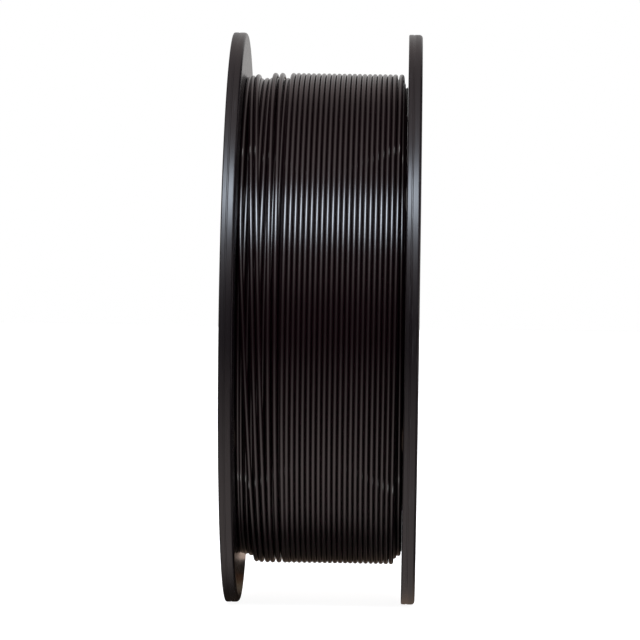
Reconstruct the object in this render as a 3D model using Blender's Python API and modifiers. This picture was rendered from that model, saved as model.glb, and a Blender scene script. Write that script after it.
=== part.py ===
"""Filament spool: two moulded flanges snapped onto a hub barrel and wound with 1.75 mm filament.

The spool stands on its two rims. Its axis is X, +Y points away from the viewer and +Z is up. The origin
is on the floor, under the middle of the spool. Every piece is modelled about its own Z axis, which is
then laid along X. Angles round the winding are counted from the near side (-Y), up and over the top.
"""
import math

import bmesh
import bpy
from mathutils import Matrix, Vector

# Flanges
FLANGE_DIAMETER = 0.200
OVERALL_WIDTH = 0.0661
RIM_THICKNESS = 0.0048
RIM_WIDTH = 0.0040
RIM_OUTER_ROUNDING = 0.0012
RIM_INNER_ROUNDING = 0.0005
RIM_GROOVE_WIDTH = 0.0009
RIM_GROOVE_DEPTH = 0.0004
WEB_THICKNESS = 0.0024
WEB_RIB_THICKNESS = 0.0016
WEB_RIB_HEIGHT = 0.0017
RING_RIB_HEIGHT = 0.0012
WALL_DRAFT = 0.0003
SECTOR_COUNT = 6
WINDOW_WIDTH = 0.0180
WINDOW_MARGIN = 0.0040
END_HOLE_COUNT = 4
END_HOLE_DIAMETER = 0.0040
END_HOLE_FIRST_ANGLE = math.radians(135)

# Bore and its end bosses
BORE_DIAMETER = 0.0550
BOSS_WALL = 0.0040
BOSS_CHAMFER = 0.0006

# Hub barrel and the snap hooks that hold the flanges on it
BORE_TUBE_WALL = 0.0022
DRUM_WALL = 0.0022
SPOKE_THICKNESS = 0.0018
HOOK_WIDTH = 0.0090
HOOK_THICKNESS = 0.0020
HOOK_CATCH = 0.0012
HOOK_HEAD = 0.0016
HOOK_TIP_THICKNESS = 0.0012
HOOK_ROOT = 0.0120
HOOK_SETBACK = 0.0010
SPIGOT_LAND = 0.0015
SPIGOT_WALL = 0.0020
SPIGOT_LENGTH = 0.0050
SPIGOT_CHAMFER = 0.0005

# Winding
FILAMENT_DIAMETER = 0.00175
FILL_BELOW_RIM = 0.0139
TURN_GAP = 0.00046
RIGHT_END_GAP = 0.0012
LOW_END_DEPTH = 0.0012
LOW_END_WIDTH = 0.0080
LOW_END_RAMP = 0.0040
POINTS_PER_TURN = 24
STRAND_SIDES_RESOLUTION = 1
STRAND_BEND_RADIUS = 0.0040
STRAND_START_ANGLE = math.radians(250)
TAIL_RISE_SWEEP = math.radians(52)
TAIL_RISE_POINTS = 7
TAIL_SHIFT_DELAY = 0.45
TAIL_TIP_INSIDE_RIM = 0.0006
TAIL_HOLE = 1
BEND_POINTS = 5

# Clearances and facets
FIT_CLEARANCE = 0.0003
FACETS = 72
HOLE_FACETS = 12
ROUND_END_FACETS = 8

# Sizes that follow from the ones above
flange_radius = FLANGE_DIAMETER / 2
axis_height = flange_radius
channel_half = OVERALL_WIDTH / 2 - RIM_THICKNESS
rim_inner_radius = flange_radius - RIM_WIDTH
wound_radius = flange_radius - FILL_BELOW_RIM
end_hole_circle = (wound_radius + rim_inner_radius) / 2

bore_radius = BORE_DIAMETER / 2
boss_radius = bore_radius + BOSS_WALL
bore_tube_radius = bore_radius + BORE_TUBE_WALL
hook_inner_radius = boss_radius + HOOK_SETBACK
hook_outer_radius = hook_inner_radius + HOOK_THICKNESS
slot_outer_radius = hook_outer_radius + HOOK_CATCH + FIT_CLEARANCE
spigot_inner_radius = slot_outer_radius + SPIGOT_LAND
spigot_outer_radius = spigot_inner_radius + SPIGOT_WALL
drum_inner_radius = spigot_outer_radius + FIT_CLEARANCE
drum_radius = drum_inner_radius + DRUM_WALL
hub_half = channel_half - FIT_CLEARANCE
spoke_half = hub_half - SPIGOT_LENGTH - FIT_CLEARANCE

strand_radius = FILAMENT_DIAMETER / 2
strand_sag = math.cos(math.pi / POINTS_PER_TURN)
first_turn_x = channel_half - RIGHT_END_GAP - strand_radius
last_turn_x = -channel_half + FIT_CLEARANCE + strand_radius

# A turned piece is a prism of FACETS sides with a flat side down. Across two flats it measures its
# radius times this share.
across_flats = math.cos(math.pi / FACETS)

BLACK_PLASTIC = (0.018, 0.018, 0.019, 1.0)
BLACK_FILAMENT = (0.022, 0.020, 0.020, 1.0)


# ---------------------------------------------------------------- tools

def clear_scene():
    """Removes every object, so the script can be run again from a text editor."""
    for thing in list(bpy.data.objects):
        bpy.data.objects.remove(thing, do_unlink=True)


def new_collection(name):
    """A collection of that name in the scene."""
    collection = bpy.data.collections.new(name)
    bpy.context.scene.collection.children.link(collection)
    return collection


def plain_material(name, colour, roughness):
    """A Principled material of one colour."""
    material = bpy.data.materials.new(name)
    material.use_nodes = True
    shader = material.node_tree.nodes["Principled BSDF"]
    shader.inputs["Base Color"].default_value = colour
    shader.inputs["Roughness"].default_value = roughness
    shader.inputs["Metallic"].default_value = 0.0
    material.diffuse_color = colour
    return material


def add_object(name, data, collection):
    """An object that holds data, linked to the collection."""
    thing = bpy.data.objects.new(name, data)
    collection.objects.link(thing)
    return thing


def evaluated_mesh(thing):
    """The mesh that an object shows, with its modifiers or its bevel carried out."""
    depsgraph = bpy.context.evaluated_depsgraph_get()
    return bpy.data.meshes.new_from_object(thing.evaluated_get(depsgraph))


def mesh_from(name, build):
    """A mesh made by a function that fills a bmesh, welded and with its faces pointing out."""
    shape = bmesh.new()
    build(shape)
    bmesh.ops.remove_doubles(shape, verts=shape.verts, dist=1e-6)
    bmesh.ops.recalc_face_normals(shape, faces=shape.faces)
    mesh = bpy.data.meshes.new(name)
    shape.to_mesh(mesh)
    shape.free()
    return mesh


def turned(name, profile, workshop):
    """A closed profile of (radius, height) points turned about Z, half a facet round."""
    start = math.pi / FACETS
    outline = bpy.data.meshes.new(name)
    points = [(radius * math.cos(start), radius * math.sin(start), height) for radius, height in profile]
    edges = [(index, (index + 1) % len(points)) for index in range(len(points))]
    outline.from_pydata(points, edges, [])
    lathe = add_object(name, outline, workshop)
    screw = lathe.modifiers.new("turn", "SCREW")
    screw.steps = FACETS
    screw.render_steps = FACETS
    screw.use_merge_vertices = True
    screw.merge_threshold = 1e-6
    surface = evaluated_mesh(lathe)
    solid = add_object(name, mesh_from(name, lambda shape: shape.from_mesh(surface)), workshop)
    bpy.data.objects.remove(lathe, do_unlink=True)
    return solid


def prism(name, outline, low, high, workshop):
    """A flat outline in the XY plane, made solid from height low to height high."""
    curve = bpy.data.curves.new(name, "CURVE")
    curve.dimensions = "2D"
    curve.fill_mode = "BOTH"
    curve.extrude = (high - low) / 2
    spline = curve.splines.new("POLY")
    spline.points.add(len(outline) - 1)
    for point, (across, along) in zip(spline.points, outline):
        point.co = (across, along, 0.0, 1.0)
    spline.use_cyclic_u = True
    drawn = add_object(name, curve, workshop)
    surface = evaluated_mesh(drawn)
    surface.transform(Matrix.Translation((0.0, 0.0, (low + high) / 2)))
    solid = add_object(name, mesh_from(name, lambda shape: shape.from_mesh(surface)), workshop)
    bpy.data.objects.remove(drawn, do_unlink=True)
    return solid


def ring_of(thing, count, first_angle=0.0):
    """Turns one object into count copies of itself, evenly spaced about Z, in one mesh."""
    single = thing.data

    def fill(shape):
        for index in range(count):
            copy = single.copy()
            copy.transform(Matrix.Rotation(first_angle + index * math.tau / count, 4, "Z"))
            shape.from_mesh(copy)
            bpy.data.meshes.remove(copy)

    thing.data = mesh_from(thing.name, fill)
    return thing


def combine(body, tool, operation):
    """Carries out one exact Boolean on the body and uses up the tool."""
    step = body.modifiers.new(operation.lower(), "BOOLEAN")
    step.operation = operation
    step.object = tool
    step.solver = "EXACT"
    result = evaluated_mesh(body)
    body.modifiers.remove(step)
    body.data = result
    bpy.data.objects.remove(tool, do_unlink=True)


def arc(centre, radius, start, end, steps):
    """Points along an arc of a circle, both ends included."""
    return [(centre[0] + radius * math.cos(start + (end - start) * index / steps),
             centre[1] + radius * math.sin(start + (end - start) * index / steps))
            for index in range(steps + 1)]


def racetrack(inner, outer, width):
    """A slot with round ends along +X, from radius inner to radius outer."""
    half = width / 2
    far_end = arc((outer - half, 0.0), half, -math.pi / 2, math.pi / 2, ROUND_END_FACETS)
    near_end = arc((inner + half, 0.0), half, math.pi / 2, 3 * math.pi / 2, ROUND_END_FACETS)
    return far_end + near_end


def rectangle(low, high):
    """The corners of an upright rectangle."""
    return [(low[0], low[1]), (high[0], low[1]), (high[0], high[1]), (low[0], high[1])]


def finish(thing, name, material, collection, sharp_angle=math.radians(30)):
    """Names a finished solid, gives it its material and moves it to the part's collection."""
    thing.name = name
    thing.data.name = name
    thing.data.materials.clear()
    thing.data.materials.append(material)
    thing.data.shade_smooth()
    thing.data.set_sharp_from_angle(angle=sharp_angle)
    for owner in list(thing.users_collection):
        owner.objects.unlink(thing)
    collection.objects.link(thing)
    return thing


def lay_along_x(side):
    """Lays a piece's Z axis along +X, or along -X with the piece turned half round the vertical."""
    half_turn = Matrix.Rotation(0.0 if side > 0 else math.pi, 4, "Z")
    up = Matrix.Translation((0.0, 0.0, axis_height))
    return up @ half_turn @ Matrix.Rotation(math.pi / 2, 4, "Y")


# ---------------------------------------------------------------- flange

def flange_profile():
    """Half of the flange's section: boss, web with a ring rib, raised rim and the spigot for the drum."""
    edge = flange_radius / across_flats
    top = RIM_THICKNESS
    middle = top / 2
    groove = RIM_GROOVE_WIDTH / 2
    outer = RIM_OUTER_ROUNDING
    inner = RIM_INNER_ROUNDING
    boss = [(bore_radius, 0.0),
            (bore_radius, top - BOSS_CHAMFER),
            (bore_radius + BOSS_CHAMFER, top),
            (boss_radius, top),
            (boss_radius + WALL_DRAFT, WEB_THICKNESS)]
    ring_rib = [(spigot_inner_radius, WEB_THICKNESS),
                (spigot_inner_radius + WALL_DRAFT, WEB_THICKNESS + RING_RIB_HEIGHT),
                (spigot_outer_radius - WALL_DRAFT, WEB_THICKNESS + RING_RIB_HEIGHT),
                (spigot_outer_radius, WEB_THICKNESS)]
    rim_back = [(rim_inner_radius - WALL_DRAFT, WEB_THICKNESS),
                (rim_inner_radius, top)]
    outer_edge = arc((edge - outer, top - outer), outer, math.pi / 2, 0.0, 2)
    parting_groove = [(edge, middle + groove), (edge - RIM_GROOVE_DEPTH, middle), (edge, middle - groove)]
    inner_edge = arc((edge - inner, inner), inner, 0.0, -math.pi / 2, 2)
    spigot = [(spigot_outer_radius, 0.0),
              (spigot_outer_radius, -SPIGOT_LENGTH + SPIGOT_CHAMFER),
              (spigot_outer_radius - SPIGOT_CHAMFER, -SPIGOT_LENGTH),
              (spigot_inner_radius, -SPIGOT_LENGTH),
              (spigot_inner_radius, 0.0)]
    return boss + ring_rib + rim_back + outer_edge + parting_groove + inner_edge + spigot


def flange_mesh(workshop):
    """The flange: inner face at height 0, outer side up, with its ribs, windows, slots and end holes."""
    flange = turned("flange", flange_profile(), workshop)
    through_low = -SPIGOT_LENGTH
    through_high = 2 * RIM_THICKNESS

    rib_overlap = RIM_WIDTH / 4
    rib = prism("web_ribs",
                rectangle((boss_radius - rib_overlap, -WEB_RIB_THICKNESS / 2),
                          (rim_inner_radius + rib_overlap, WEB_RIB_THICKNESS / 2)),
                WEB_THICKNESS / 2, WEB_THICKNESS + WEB_RIB_HEIGHT, workshop)
    combine(flange, ring_of(rib, SECTOR_COUNT, math.pi / SECTOR_COUNT), "UNION")

    window = prism("windows",
                   racetrack(drum_radius + WINDOW_MARGIN, wound_radius - WINDOW_MARGIN, WINDOW_WIDTH),
                   through_low, through_high, workshop)
    combine(flange, ring_of(window, SECTOR_COUNT), "DIFFERENCE")

    half_slot = HOOK_WIDTH / 2 + FIT_CLEARANCE
    slot = prism("hook_slots",
                 rectangle((hook_inner_radius - FIT_CLEARANCE, -half_slot), (slot_outer_radius, half_slot)),
                 through_low, through_high, workshop)
    combine(flange, ring_of(slot, SECTOR_COUNT), "DIFFERENCE")

    hole = prism("end_holes",
                 arc((end_hole_circle, 0.0), END_HOLE_DIAMETER / 2, 0.0, math.tau, HOLE_FACETS)[:-1],
                 through_low, through_high, workshop)
    combine(flange, ring_of(hole, END_HOLE_COUNT, END_HOLE_FIRST_ANGLE), "DIFFERENCE")

    mesh = flange.data
    bpy.data.objects.remove(flange, do_unlink=True)
    return mesh


def make_flanges(part, workshop, plastic):
    """Two of the same moulding, face to face: the left one is the right one turned round."""
    mesh = flange_mesh(workshop)
    for name, side in (("left_flange", -1), ("right_flange", 1)):
        flange = add_object(name, mesh.copy(), workshop)
        flange.matrix_world = lay_along_x(side) @ Matrix.Translation((0.0, 0.0, channel_half))
        finish(flange, name, plastic, part)


# ---------------------------------------------------------------- hub

def tube_profile(inner, outer, half_length):
    """The section of a plain tube centred on the origin."""
    return [(inner, -half_length), (outer, -half_length), (outer, half_length), (inner, half_length)]


def hook_outline(end):
    """A snap hook from the side, as (radius, height) points, at the hub's +1 or -1 end."""
    root = spoke_half - HOOK_ROOT
    catch = channel_half + WEB_THICKNESS + FIT_CLEARANCE
    tip = catch + HOOK_HEAD
    lead = catch + HOOK_HEAD / 3
    outline = [(hook_inner_radius, root),
               (hook_outer_radius, root),
               (hook_outer_radius, catch),
               (hook_outer_radius + HOOK_CATCH, catch),
               (hook_outer_radius + HOOK_CATCH, lead),
               (hook_inner_radius + HOOK_TIP_THICKNESS, tip),
               (hook_inner_radius, tip)]
    return [(radius, end * height) for radius, height in outline]


def make_hub(part, workshop, plastic):
    """The barrel: a bore tube inside a drum, joined by spokes that carry the snap hooks."""
    hub = turned("hub_barrel", tube_profile(drum_inner_radius, drum_radius, hub_half), workshop)
    half_spoke = SPOKE_THICKNESS / 2
    spoke = prism("spokes",
                  rectangle((bore_radius + BORE_TUBE_WALL / 2, -half_spoke),
                            (drum_inner_radius + DRUM_WALL / 2, half_spoke)),
                  -spoke_half, spoke_half, workshop)
    combine(hub, ring_of(spoke, SECTOR_COUNT), "UNION")
    bore_tube = turned("bore_tube", tube_profile(bore_radius, bore_tube_radius, hub_half), workshop)
    combine(hub, bore_tube, "UNION")
    upright = Matrix.Rotation(math.pi / 2, 4, "X")
    for end in (-1, 1):
        hook = prism("hooks", hook_outline(end), -HOOK_WIDTH / 2, HOOK_WIDTH / 2, workshop)
        hook.data.transform(upright)
        combine(hub, ring_of(hook, SECTOR_COUNT), "UNION")
    hub.matrix_world = lay_along_x(1)
    finish(hub, "hub_barrel", plastic, part)


# ---------------------------------------------------------------- winding

def low_end_drop(x):
    """How far the winding dips at x: it lies lower beside the left flange, past a short ramp."""
    ramp_end = -channel_half + LOW_END_WIDTH
    share = (ramp_end + LOW_END_RAMP - x) / LOW_END_RAMP
    return LOW_END_DEPTH * min(max(share, 0.0), 1.0)


def strand_circle(x):
    """The radius on which the outer layer's strand is laid at x."""
    return wound_radius - strand_radius - low_end_drop(x)


def core_circle(x):
    """The packed filament's outer radius at x, clear of the straight chords of the strand above it."""
    return strand_circle(x) * strand_sag - strand_radius - FIT_CLEARANCE


def on_winding(x, radius, angle, forward=0.0):
    """The point at an angle round the winding, moved forward along the way that the strand runs."""
    near, up = math.cos(angle), math.sin(angle)
    return Vector((x, -radius * near - forward * up, axis_height + radius * up - forward * near))


def make_core(part, workshop, filament):
    """All the layers under the outer one, as a plain packed ring with a pocket where the strand rises."""
    end = channel_half - FIT_CLEARANCE
    ramp_end = -channel_half + LOW_END_WIDTH
    profile = [(drum_radius + FIT_CLEARANCE, -end),
               (core_circle(-end), -end),
               (core_circle(ramp_end), ramp_end),
               (core_circle(ramp_end + LOW_END_RAMP), ramp_end + LOW_END_RAMP),
               (core_circle(end), end),
               (drum_radius + FIT_CLEARANCE, end)]
    core = turned("filament_core", profile, workshop)

    clear_half = strand_radius + FIT_CLEARANCE
    floor = strand_circle(first_turn_x) - STRAND_BEND_RADIUS - FILAMENT_DIAMETER - FIT_CLEARANCE
    pocket = prism("strand_pocket",
                   rectangle((floor, -clear_half), (flange_radius, STRAND_BEND_RADIUS)),
                   first_turn_x - clear_half, channel_half, workshop)
    pocket.data.transform(Matrix.Rotation(pocket_angle(), 4, "Z"))
    combine(core, pocket, "DIFFERENCE")
    core.matrix_world = lay_along_x(1)
    finish(core, "filament_core", filament, part)


def pocket_angle():
    """The strand's start angle as the core counts it: from straight down, towards +Y."""
    return -math.pi / 2 - STRAND_START_ANGLE


def strand_start():
    """The strand's first stretch: out of the pocket, straight, then bent over to run round the spool."""
    circle = strand_circle(first_turn_x)
    foot = circle - STRAND_BEND_RADIUS
    points = [on_winding(first_turn_x, foot - FILAMENT_DIAMETER, STRAND_START_ANGLE)]
    for index in range(BEND_POINTS):
        bend = math.pi / 2 * index / BEND_POINTS
        points.append(on_winding(first_turn_x, foot + STRAND_BEND_RADIUS * math.sin(bend),
                                 STRAND_START_ANGLE, STRAND_BEND_RADIUS * (1 - math.cos(bend))))
    return points


def strand_turns(start_angle, end_angle):
    """The turns themselves, from the right end to the left, evenly spaced over the room there is."""
    room = first_turn_x - last_turn_x
    part_turn = (start_angle - end_angle) % math.tau / math.tau
    whole_turns = math.floor(room / (FILAMENT_DIAMETER + TURN_GAP) - part_turn)
    turns = whole_turns + part_turn
    steps = round(turns * POINTS_PER_TURN)
    points = []
    for index in range(steps + 1):
        share = index / steps
        x = first_turn_x - room * share
        points.append(on_winding(x, strand_circle(x), start_angle - math.tau * turns * share))
    return points


def smooth_step(share):
    """Rises from 0 to 1 with level ends."""
    clipped = min(max(share, 0.0), 1.0)
    return clipped * clipped * (3 - 2 * clipped)


def strand_tail(start_angle, hole_angle):
    """The free end: it rises over the last turns, bends towards the left flange and enters its hole."""
    low = strand_circle(last_turn_x)
    hole_x = -channel_half + FIT_CLEARANCE
    bend_x = hole_x + STRAND_BEND_RADIUS
    end_angle = hole_angle + STRAND_BEND_RADIUS / end_hole_circle
    points = []
    for index in range(1, TAIL_RISE_POINTS):
        share = index / TAIL_RISE_POINTS
        rise = smooth_step(share)
        shift = smooth_step((share - TAIL_SHIFT_DELAY) / (1 - TAIL_SHIFT_DELAY))
        points.append(on_winding(last_turn_x + (bend_x - last_turn_x) * shift,
                                 low + (end_hole_circle - low) * rise,
                                 start_angle + (end_angle - start_angle) * share))
    for index in range(BEND_POINTS + 1):
        bend = math.pi / 2 * index / BEND_POINTS
        points.append(on_winding(bend_x - STRAND_BEND_RADIUS * (1 - math.cos(bend)), end_hole_circle,
                                 hole_angle, STRAND_BEND_RADIUS * (math.sin(bend) - 1)))
    tip_x = -OVERALL_WIDTH / 2 + TAIL_TIP_INSIDE_RIM
    points.append(on_winding(tip_x, end_hole_circle, hole_angle))
    return points


def strand_path():
    """The whole outer layer as one line of points."""
    hole_angle = END_HOLE_FIRST_ANGLE - math.pi / 2 + TAIL_HOLE * math.tau / END_HOLE_COUNT
    turns_start = STRAND_START_ANGLE - STRAND_BEND_RADIUS / strand_circle(first_turn_x)
    turns_end = hole_angle + TAIL_RISE_SWEEP
    return strand_start() + strand_turns(turns_start, turns_end) + strand_tail(turns_end, hole_angle)


def least_gap(points):
    """The least gap between stretches of the strand that lie at least a third of a turn apart."""
    apart = POINTS_PER_TURN // 3
    middles = [(a + b) / 2 for a, b in zip(points, points[1:])]
    samples = [point for pair in zip(points, middles) for point in pair]
    least = math.inf
    for index, point in enumerate(samples):
        for other in samples[index + 2 * apart:index + 5 * POINTS_PER_TURN]:
            least = min(least, (point - other).length)
    return least - FILAMENT_DIAMETER


def make_outer_turns(part, filament):
    """The outer layer of filament: one unbroken tube from its pocket in the core to its end hole."""
    points = strand_path()
    curve = bpy.data.curves.new("filament_outer_turns", "CURVE")
    curve.dimensions = "3D"
    curve.bevel_depth = strand_radius
    curve.bevel_resolution = STRAND_SIDES_RESOLUTION
    curve.use_fill_caps = True
    spline = curve.splines.new("POLY")
    spline.points.add(len(points) - 1)
    for knot, point in zip(spline.points, points):
        knot.co = (*point, 1.0)
    curve.materials.append(filament)
    add_object("filament_outer_turns", curve, part)
    print(f"outer turns: {len(points)} points, least gap to itself {1000 * least_gap(points):.2f} mm")


# ---------------------------------------------------------------- the spool

def main():
    clear_scene()
    part = new_collection("filament_spool")
    workshop = new_collection("workshop")
    plastic = plain_material("black_plastic", BLACK_PLASTIC, 0.28)
    filament = plain_material("black_filament", BLACK_FILAMENT, 0.30)
    make_flanges(part, workshop, plastic)
    make_hub(part, workshop, plastic)
    make_core(part, workshop, filament)
    make_outer_turns(part, filament)
    bpy.data.collections.remove(workshop)


main()
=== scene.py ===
"""Filament spool: the looks of a moulded black spool, nearly full of glossy black filament.

The spool's axis lies along X at axis_height. Points on it are given as x along the axis, a radius from
the axis, and an angle round it that starts at the near side (-Y) and runs up and over the top.
"""
import math

import bmesh
import bpy
import numpy as np
from bpy.props import FloatProperty, FloatVectorProperty, IntProperty, PointerProperty
from mathutils import Matrix, Vector


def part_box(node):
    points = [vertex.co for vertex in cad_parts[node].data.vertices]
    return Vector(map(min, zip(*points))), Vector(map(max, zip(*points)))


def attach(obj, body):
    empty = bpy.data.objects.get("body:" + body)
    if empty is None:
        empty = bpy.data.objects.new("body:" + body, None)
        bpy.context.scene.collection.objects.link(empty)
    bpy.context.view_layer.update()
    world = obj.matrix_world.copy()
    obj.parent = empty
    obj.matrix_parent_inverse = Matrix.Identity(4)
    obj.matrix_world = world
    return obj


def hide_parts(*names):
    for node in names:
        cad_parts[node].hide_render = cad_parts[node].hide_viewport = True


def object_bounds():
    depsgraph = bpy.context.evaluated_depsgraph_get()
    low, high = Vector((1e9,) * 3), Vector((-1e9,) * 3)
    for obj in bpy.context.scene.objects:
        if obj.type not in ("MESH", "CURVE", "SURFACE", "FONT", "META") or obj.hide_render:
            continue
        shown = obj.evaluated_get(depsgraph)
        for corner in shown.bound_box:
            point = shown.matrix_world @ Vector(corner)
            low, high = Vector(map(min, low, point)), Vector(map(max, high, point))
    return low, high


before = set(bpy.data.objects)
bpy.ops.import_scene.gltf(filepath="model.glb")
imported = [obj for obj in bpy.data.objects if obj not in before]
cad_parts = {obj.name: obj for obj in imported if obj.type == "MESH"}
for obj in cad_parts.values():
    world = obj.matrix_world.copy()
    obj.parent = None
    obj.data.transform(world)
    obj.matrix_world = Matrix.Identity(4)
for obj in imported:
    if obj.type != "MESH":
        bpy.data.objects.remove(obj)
cad_box = [list(corner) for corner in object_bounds()]

bl_info = {
    "name": "Filament Spool",
    "version": (1, 0, 0),
    "blender": (4, 5, 0),
    "location": "View3D > Sidebar > Spool",
    "description": "A moulded spool of filament, built round its packed solids",
    "category": "Add Mesh",
}

MM = 0.001
SPIGOT_LENGTH = 5.0 * MM
overall_width = cad_box[1][0] - cad_box[0][0]
flange_radius = (cad_box[1][2] - cad_box[0][2]) / 2
axis_height = cad_box[0][2] + flange_radius
channel_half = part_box("right_flange")[0][0] + SPIGOT_LENGTH
rim_thickness = overall_width / 2 - channel_half
FIT_CLEARANCE = 0.3 * MM

# Flange, outwards from the bore. Heights are above its inner face.
BORE_RADIUS = 27.5 * MM
BOSS_RADIUS = 31.5 * MM
BOSS_CHAMFER = 0.6 * MM
WALL_DRAFT = 0.3 * MM
SPIGOT_INNER = 37.5 * MM
SPIGOT_OUTER = 39.5 * MM
SPIGOT_CHAMFER = 0.5 * MM
RING_RIB_HEIGHT = 1.2 * MM
WEB_RIB_HEIGHT = 1.7 * MM
WEB_RIB_HALF = 0.8 * MM
WEB_RIB_DRAFT = 0.1 * MM
# How far a web rib runs into the boss, the rim and the web
RIB_INTO_BOSS = 0.4 * MM
RIB_INTO_RIM = 0.6 * MM
RIB_INTO_WEB = 0.3 * MM
RIM_INNER = 96.0 * MM
RIM_BACK_ROUNDING = 0.35 * MM
RIM_SHARP_EDGE = 0.5 * MM
GROOVE_HALF = 0.35 * MM
GROOVE_FLOOR_HALF = 0.12 * MM
GROOVE_ROUNDING = 0.16 * MM
GROOVE_SUPPORT = 0.03 * MM
# How high the groove lies on each rim, as a share of the rim's thickness.
GROOVE_SHARES = {-1: 0.60, 1: 0.39}
WINDOW_INNER = 46.0 * MM
WINDOW_OUTER = 82.1 * MM
WINDOW_RING = 84.0 * MM
HOLE_CIRCLE = 91.05 * MM
HOLE_RADIUS = 2.0 * MM
SLOT_INNER = 32.2 * MM
SLOT_OUTER = 36.0 * MM
SLOT_HALF = 4.8 * MM
SLOT_CORNER = 0.3 * MM
SLOT_ROUNDING = 0.12 * MM
# The six windows, and the ribs between them. Angles in degrees.
WINDOWS = range(-90, 270, 60)
RIBS = range(0, 360, 60)
SECTOR_HALF = 30
# Steps up the sides of the sector round a window, a slot and an end hole
WINDOW_STEPS = 60
SLOT_STEPS = 20
HOLE_STEPS = 12
END_HOLES = (45, 135, 225, 315)
HOLE_SECTOR_HALF = 14
# The angle past which an edge is shaded sharp, on moulded and on wound pieces
MOULDED_SHARP = 35.0
WOUND_SHARP = 60.0

# Hub barrel
TUBE_OUTER = 29.7 * MM
DRUM_INNER = 39.8 * MM
DRUM_OUTER = 42.0 * MM
HUB_HALF = channel_half - FIT_CLEARANCE
HUB_ROUNDING = 0.3 * MM
SPOKE_HALF = 22.65 * MM
SPOKE_HALF_THICKNESS = 0.9 * MM
SPOKE_SUNK = 0.8 * MM
HOOK_INNER = 32.5 * MM
HOOK_OUTER = 34.5 * MM
HOOK_CATCH = 1.2 * MM
HOOK_HALF_WIDTH = 4.5 * MM
HOOK_ROOT = 10.65 * MM
HOOK_CATCH_AT = channel_half + 2.7 * MM
HOOK_HEAD = 1.6 * MM
HOOK_TIP = 1.2 * MM
HOOK_OVERLAP = 0.2 * MM
HOOK_ROUNDING = 0.2 * MM
HUB_ROUGHNESS = 0.4

# Packed layers. A ring is the last turn of a layer, and RING_STRAY is its stray in millimetres.
LAYER_STEP = 1.52 * MM
DRUM_GAP = 0.2 * MM
SIDE_GAP = 0.03 * MM
RING_COLUMNS = 120
RING_POINTS = 8
RING_SETBACK = 0.8 * MM
RING_STRAY = (0.05, 0.3)
LEAST_STRAY = 0.3
TOP_RING_SHARE = 0.6
BETWEEN_RINGS = 0.3 * MM
COVER_INSET = 0.25 * MM
COVER_SUNK = 0.02 * MM
COVER_DEPTH = 0.9
COVER_ROUNDNESS = 0.95
SHOULDER_DROP = 0.35 * MM
SHOULDER_WIDTH = 0.5 * MM

# Strand
UPPER_STRAND_CIRCLE = 85.225 * MM
LOWER_STRAND_CIRCLE = 83.475 * MM
LOW_SIDE_START = -19.0 * MM
LOW_SIDE_CURVE = 21.0
RIGHT_END_DROP = 1.2 * MM
RIGHT_END_START = 25.2 * MM
RIGHT_END_WIDTH = 1.6 * MM
SIDE_LIMIT = 27.3 * MM
SIDE_SOFTNESS = 0.35 * MM
SIDE_STOP = 27.36 * MM
STEPS_PER_TURN = 96
STRAND_SIDES = 12

LOWER_FIRST_X = -27.44 * MM
LOWER_PITCH = 1.81 * MM
LOWER_START_ANGLE = math.radians(20)
LOWER_TURNS = 31
LOWER_TILT = 1.2 * MM
LOOSE_LEAD = math.radians(20)
LOOSE_BELOW_X = -10.0 * MM
LOOSE_OVER = 5.0 * MM
# The outer layer's turns are counted from 0. The strand climbs up to it just before.
CLIMB_TURN = -0.475
CLIMB_LENGTH = 0.25
UPPER_FIRST_X = 25.05 * MM
UPPER_FIRST_SPREAD = 8.0 * MM
REGULAR_TURNS = 21
# The last, loose turns: middle of the turn and how far it swings to and fro, in millimetres, and the
# swing's lead, in degrees.
LOOSE_TURNS = (
    (-15.3, 0.72, -20),
    (-17.6, 0.82, -20),
    (-21.6, 3.10, -20),
    (-23.5, 2.94, -20),
    (-26.97, 4.57, -15),
)
# Which part of a turn the change from one loose turn to the next takes
CHANGE_START = 0.17
CHANGE_LENGTH = 0.66
TAIL_HOLE_ANGLE = math.radians(135)
TAIL_RISE = math.radians(52)
TAIL_SHIFT_DELAY = 0.45
TAIL_BEND = 4.0 * MM
TAIL_TIP_X = -32.45 * MM
STRAND_CHAMFER = 0.12 * MM

# Points closer than this are welded. The shift keeps round sizes off the edges of the welding cells.
WELD = 1e-6
WELD_SHIFT = 0.137
# Corners of a section: the cosine past which two runs count as one line, and the largest shares of a
# run that a cut and a support point take. Beside a rounded edge a margin is left flat.
IN_LINE = -0.97
LONGEST_CUT = 0.42
LONGEST_SUPPORT = 0.05
EDGE_MARGIN = 0.05 * MM

# Where the rim has rubbed: from the first radius or distance from the middle to the second
WORN_RADII = (99.0 * MM, 99.7 * MM)
WORN_SIDES = (30.4 * MM, 31.0 * MM)

# Camera, in radians
CAMERA_YAW = 0.0011
CAMERA_PITCH = 0.0004
CAMERA_ROLL = 0.0149

# Tints of the light
WARM = (1.0, 0.87, 0.85)
BROWN = (1.0, 0.72, 0.55)
COOL = (0.77, 0.87, 1.0)
NEUTRAL = (1.0, 0.97, 0.96)
# The room's light, by turn in degrees from the front horizon, up and over the top, or down and round
# below: the turn, how bright, and its tint.
ROOM_LIGHT = (
    (-180, 0.10, BROWN), (-172, 0.14, BROWN), (-160, 0.30, BROWN), (-135, 0.32, WARM), (-110, 0.70, WARM),
    (-97, 0.78, WARM), (-80, 1.02, WARM), (-65, 1.02, WARM), (-55, 0.92, WARM), (-33, 0.58, WARM),
    (-12, 0.15, WARM), (8, 0.21, WARM), (25, 0.80, WARM), (80, 0.86, WARM), (107, 0.48, WARM),
    (122, 0.36, WARM), (141, 0.40, WARM), (158, 0.50, NEUTRAL), (172, 0.74, NEUTRAL), (180, 0.78, NEUTRAL),
)
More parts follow.
